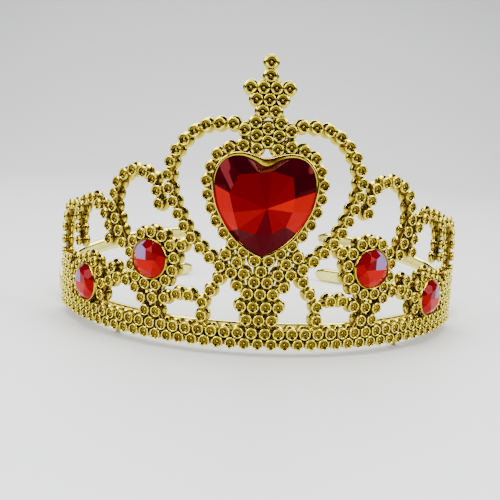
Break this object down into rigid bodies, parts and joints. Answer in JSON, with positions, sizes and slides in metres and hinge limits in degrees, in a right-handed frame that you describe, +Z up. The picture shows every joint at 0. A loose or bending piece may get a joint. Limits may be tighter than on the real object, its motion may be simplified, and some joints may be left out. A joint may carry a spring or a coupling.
{
  "type": "tiara",
  "caption": "Gilded toy tiara of ring-shaped beadwork on a curved rim, with a heart stone, round stones and comb arms that spring outwards.",
  "frame": {"origin": "on the table, under the middle of the whole tiara", "axes": "+X to the right seen from the front, -Y out of the heart stone, +Z up"},
  "size_m": [0.1328, 0.1056, 0.0753],
  "materials": {
    "gold_beadwork": "vacuum-metallised gold, bright",
    "gold_smooth": "vacuum-metallised gold, smooth and pale",
    "heart_stone": "faceted red acrylic with a foil back",
    "round_stone": "faceted red acrylic with a foil back"
  },
  "bodies": {
    "tiara": {"inner_band": "gold_smooth", "band_nubs": "gold_smooth", "bead_row_lower": "gold_beadwork", "bead_row_upper": "gold_beadwork", "centre_stem": "gold_beadwork", "heart_surround": "gold_beadwork", "top_cross": "gold_beadwork", "heart_setting": "gold_beadwork", "heart_stone": "heart_stone", "right_big_arch": "gold_beadwork", "right_low_scroll": "gold_beadwork", "right_mid_medallion": "gold_beadwork", "right_outer_medallion": "gold_beadwork", "right_mid_scroll": "gold_beadwork", "right_link_scroll": "gold_beadwork", "right_outer_scroll": "gold_beadwork", "right_mid_setting": "gold_beadwork", "right_outer_setting": "gold_beadwork", "right_mid_stone": "round_stone", "right_outer_stone": "round_stone", "left_big_arch": "gold_beadwork", "left_low_scroll": "gold_beadwork", "left_mid_medallion": "gold_beadwork", "left_outer_medallion": "gold_beadwork", "left_mid_scroll": "gold_beadwork", "left_link_scroll": "gold_beadwork", "left_outer_scroll": "gold_beadwork", "left_mid_setting": "gold_beadwork", "left_outer_setting": "gold_beadwork", "left_mid_stone": "round_stone", "left_outer_stone": "round_stone"},
    "right_arm": {"right_comb_arm": "gold_smooth"},
    "left_arm": {"left_comb_arm": "gold_smooth"}
  },
  "joints": [
    {"name": "right_arm_flex", "type": "hinge", "parent": "tiara", "child": "right_arm", "pos_m": [0.05749, -0.00512, 0.0048], "axis": [0, 0, -1], "range_deg": [-3, 12], "stiffness_Nm_per_rad": 0.35},
    {"name": "left_arm_flex", "type": "hinge", "parent": "tiara", "child": "left_arm", "pos_m": [-0.05749, -0.00512, 0.0048], "axis": [0, 0, 1], "range_deg": [-3, 12], "stiffness_Nm_per_rad": 0.35}
  ]
}
